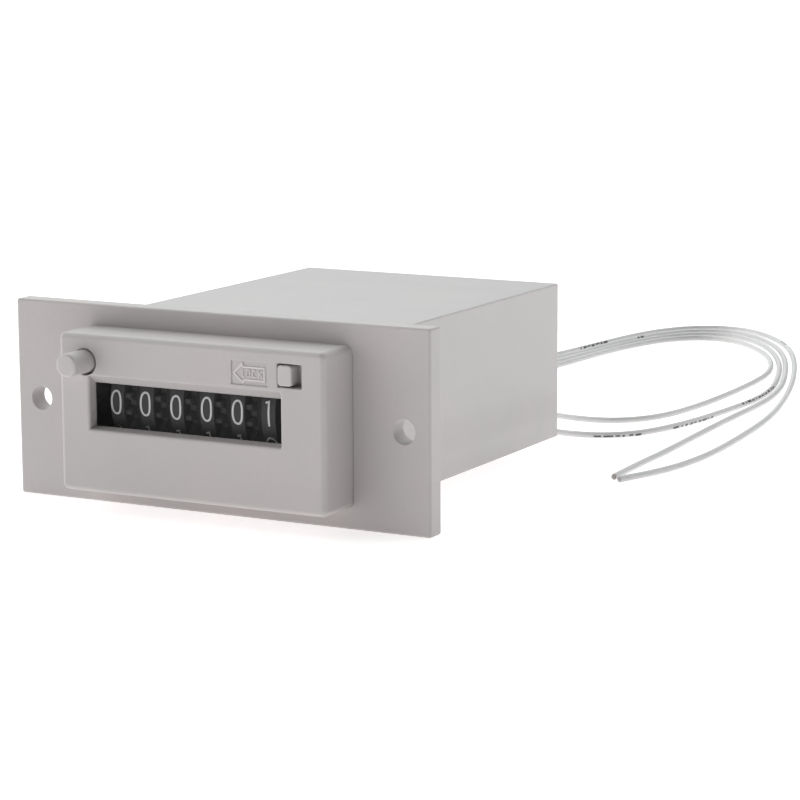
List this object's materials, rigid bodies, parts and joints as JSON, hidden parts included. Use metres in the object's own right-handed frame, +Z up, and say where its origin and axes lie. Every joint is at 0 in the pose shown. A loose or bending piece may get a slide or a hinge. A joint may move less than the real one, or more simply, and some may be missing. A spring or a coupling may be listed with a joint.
{
  "type": "electromechanical panel counter",
  "caption": "Flange-mounted electromechanical pulse counter with number wheels behind a window, push reset, lock slide and two wire leads.",
  "frame": {"origin": "middle of the footprint of the counter without its leads, on the level of the flange's lower edge", "axes": "+Z up, +Y from the front face into the panel, +X to the right seen from the front"},
  "size_m": [0.0886, 0.227, 0.0318],
  "materials": {
    "light_grey_abs": "fine moulded satin",
    "casing_abs": "fine moulded satin",
    "button_abs": "satin",
    "slider_abs": "satin",
    "black_wheel_plastic": "satin black with white digits",
    "pinion_acetal": "natural acetal",
    "comb_acetal": "natural acetal",
    "lever_acetal": "natural acetal",
    "bobbin_nylon": "natural nylon",
    "coil_tape": "amber coil tape over copper wire",
    "zinc_plated_steel": "zinc plated",
    "soft_iron": "machined",
    "yoke_steel": "pressed, plated",
    "armature_iron": "pressed, plated",
    "pin_steel": "ground",
    "ground_steel": "ground",
    "spring_steel": "drawn wire",
    "zinc_screw": "zinc plated",
    "grommet_rubber": "matt rubber",
    "lead_pvc": "smooth white lead insulation with dark print marks"
  },
  "bodies": {
    "housing": {"front_bezel": "light_grey_abs", "rear_casing": "casing_abs", "chassis_frame": "zinc_plated_steel", "coil_bobbin": "bobbin_nylon", "coil_winding": "coil_tape", "magnet_core": "soft_iron", "magnet_yoke": "yoke_steel", "armature_pin": "pin_steel", "wheel_shaft": "ground_steel", "pinion_shaft": "ground_steel", "reset_shaft": "ground_steel", "reset_spring": "spring_steel", "armature_spring": "spring_steel", "core_screw": "zinc_screw", "casing_screw_left": "zinc_screw", "casing_screw_right": "zinc_screw", "chassis_screw_left": "zinc_screw", "chassis_screw_right": "zinc_screw", "lead_grommet": "grommet_rubber", "lead_wire_a": "lead_pvc", "lead_wire_b": "lead_pvc", "inner_lead_a": "lead_pvc", "inner_lead_b": "lead_pvc"},
    "wheel_1": {"number_wheel_1": "black_wheel_plastic"},
    "wheel_2": {"number_wheel_2": "black_wheel_plastic"},
    "wheel_3": {"number_wheel_3": "black_wheel_plastic"},
    "wheel_4": {"number_wheel_4": "black_wheel_plastic"},
    "wheel_5": {"number_wheel_5": "black_wheel_plastic"},
    "wheel_6": {"number_wheel_6": "black_wheel_plastic"},
    "pinion_1": {"transfer_pinion_1": "pinion_acetal"},
    "pinion_2": {"transfer_pinion_2": "pinion_acetal"},
    "pinion_3": {"transfer_pinion_3": "pinion_acetal"},
    "pinion_4": {"transfer_pinion_4": "pinion_acetal"},
    "pinion_5": {"transfer_pinion_5": "pinion_acetal"},
    "button": {"reset_button": "button_abs"},
    "comb": {"reset_comb": "comb_acetal"},
    "lock": {"lock_slider": "slider_abs"},
    "armature": {"armature_plate": "armature_iron", "drive_lever": "lever_acetal"}
  },
  "joints": [
    {"name": "wheel_1_turn", "type": "hinge", "parent": "housing", "child": "wheel_1", "pos_m": [0.01224, -0.0247, 0.0174], "axis": [-1, 0, 0], "continuous": true},
    {"name": "wheel_2_turn", "type": "hinge", "parent": "housing", "child": "wheel_2", "pos_m": [0.00674, -0.0247, 0.0174], "axis": [-1, 0, 0], "continuous": true},
    {"name": "wheel_3_turn", "type": "hinge", "parent": "housing", "child": "wheel_3", "pos_m": [0.00124, -0.0247, 0.0174], "axis": [-1, 0, 0], "continuous": true},
    {"name": "wheel_4_turn", "type": "hinge", "parent": "housing", "child": "wheel_4", "pos_m": [-0.00426, -0.0247, 0.0174], "axis": [-1, 0, 0], "continuous": true},
    {"name": "wheel_5_turn", "type": "hinge", "parent": "housing", "child": "wheel_5", "pos_m": [-0.00976, -0.0247, 0.0174], "axis": [-1, 0, 0], "continuous": true},
    {"name": "wheel_6_turn", "type": "hinge", "parent": "housing", "child": "wheel_6", "pos_m": [-0.01526, -0.0247, 0.0174], "axis": [-1, 0, 0], "continuous": true},
    {"name": "pinion_1_turn", "type": "hinge", "parent": "housing", "child": "pinion_1", "pos_m": [0.00949, -0.0135, 0.0174], "axis": [-1, 0, 0], "continuous": true},
    {"name": "pinion_2_turn", "type": "hinge", "parent": "housing", "child": "pinion_2", "pos_m": [0.00399, -0.0135, 0.0174], "axis": [-1, 0, 0], "continuous": true},
    {"name": "pinion_3_turn", "type": "hinge", "parent": "housing", "child": "pinion_3", "pos_m": [-0.00151, -0.0135, 0.0174], "axis": [-1, 0, 0], "continuous": true},
    {"name": "pinion_4_turn", "type": "hinge", "parent": "housing", "child": "pinion_4", "pos_m": [-0.00701, -0.0135, 0.0174], "axis": [-1, 0, 0], "continuous": true},
    {"name": "pinion_5_turn", "type": "hinge", "parent": "housing", "child": "pinion_5", "pos_m": [-0.01251, -0.0135, 0.0174], "axis": [-1, 0, 0], "continuous": true},
    {"name": "reset_press", "type": "slide", "parent": "housing", "child": "button", "axis": [0, 1, 0], "range_m": [0, 0.003], "stiffness_N_per_m": 200, "springref_m": -0.002, "deforming": ["reset_spring"]},
    {"name": "comb_swing", "type": "hinge", "parent": "housing", "child": "comb", "pos_m": [-0.003, -0.0115, 0.007], "axis": [-1, 0, 0], "range_deg": [0, 10.1]},
    {"name": "lock_slide", "type": "slide", "parent": "housing", "child": "lock", "axis": [1, 0, 0], "range_m": [0, 0.0015]},
    {"name": "armature_pull", "type": "hinge", "parent": "housing", "child": "armature", "pos_m": [0.002, -0.0028, 0.0062], "axis": [-1, 0, 0], "range_deg": [0, 3.5], "stiffness_Nm_per_rad": 0.05, "springref_deg": -2.86, "deforming": ["armature_spring"]}
  ],
  "couplings": [
    {"joint": "wheel_2_turn", "follows": "wheel_1_turn", "ratio": 0.1},
    {"joint": "wheel_3_turn", "follows": "wheel_1_turn", "ratio": 0.01},
    {"joint": "wheel_4_turn", "follows": "wheel_1_turn", "ratio": 0.001},
    {"joint": "wheel_5_turn", "follows": "wheel_1_turn", "ratio": 0.0001},
    {"joint": "wheel_6_turn", "follows": "wheel_1_turn", "ratio": 0.00001},
    {"joint": "pinion_1_turn", "follows": "wheel_1_turn", "ratio": -0.25},
    {"joint": "pinion_2_turn", "follows": "wheel_1_turn", "ratio": -0.025},
    {"joint": "pinion_3_turn", "follows": "wheel_1_turn", "ratio": -0.0025},
    {"joint": "pinion_4_turn", "follows": "wheel_1_turn", "ratio": -0.00025},
    {"joint": "pinion_5_turn", "follows": "wheel_1_turn", "ratio": -0.000025},
    {"joint": "comb_swing", "follows": "reset_press", "rad_per_m": 58.48}
  ]
}
